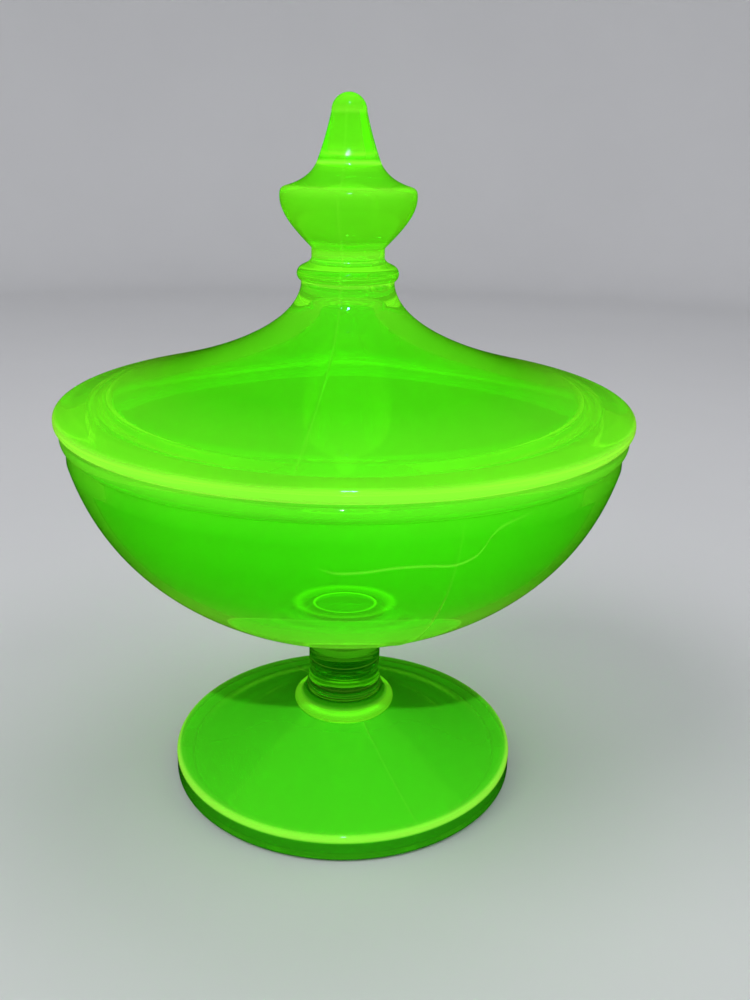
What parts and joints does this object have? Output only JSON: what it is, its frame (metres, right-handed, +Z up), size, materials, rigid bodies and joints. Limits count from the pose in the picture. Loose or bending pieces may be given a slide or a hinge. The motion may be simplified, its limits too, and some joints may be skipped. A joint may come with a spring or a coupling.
{
  "type": "covered footed candy dish",
  "caption": "Footed glass bowl on a short stem and domed foot, with a loose lid that seats by a flange and lifts off by a steeple finial.",
  "frame": {"origin": "on the table under the middle of the foot", "axes": "+Z up along the axis that the bowl, stem, foot and lid are turned about; +X and +Y are any two level directions"},
  "size_m": [0.1676, 0.1676, 0.2072],
  "materials": {
    "foot": "fire-polished uranium glass, glowing green",
    "stem_wafer": "fire-polished uranium glass, glowing green",
    "stem": "fire-polished uranium glass, clearer and darker green",
    "bowl": "fire-polished uranium glass, glowing green",
    "lid_dome": "fire-polished uranium glass, glowing yellow-green",
    "lid_collar": "fire-polished uranium glass, glowing yellow-green",
    "lid_finial": "fire-polished uranium glass, glowing yellow-green"
  },
  "bodies": {
    "base": {"foot": "foot", "stem_wafer": "stem_wafer", "stem": "stem", "bowl": "bowl"},
    "lid": {"lid_dome": "lid_dome", "lid_collar": "lid_collar", "lid_finial": "lid_finial"}
  },
  "joints": [
    {"name": "lid_lift", "type": "slide", "parent": "base", "child": "lid", "axis": [0, 0, 1], "range_m": [0, 0.06]}
  ]
}
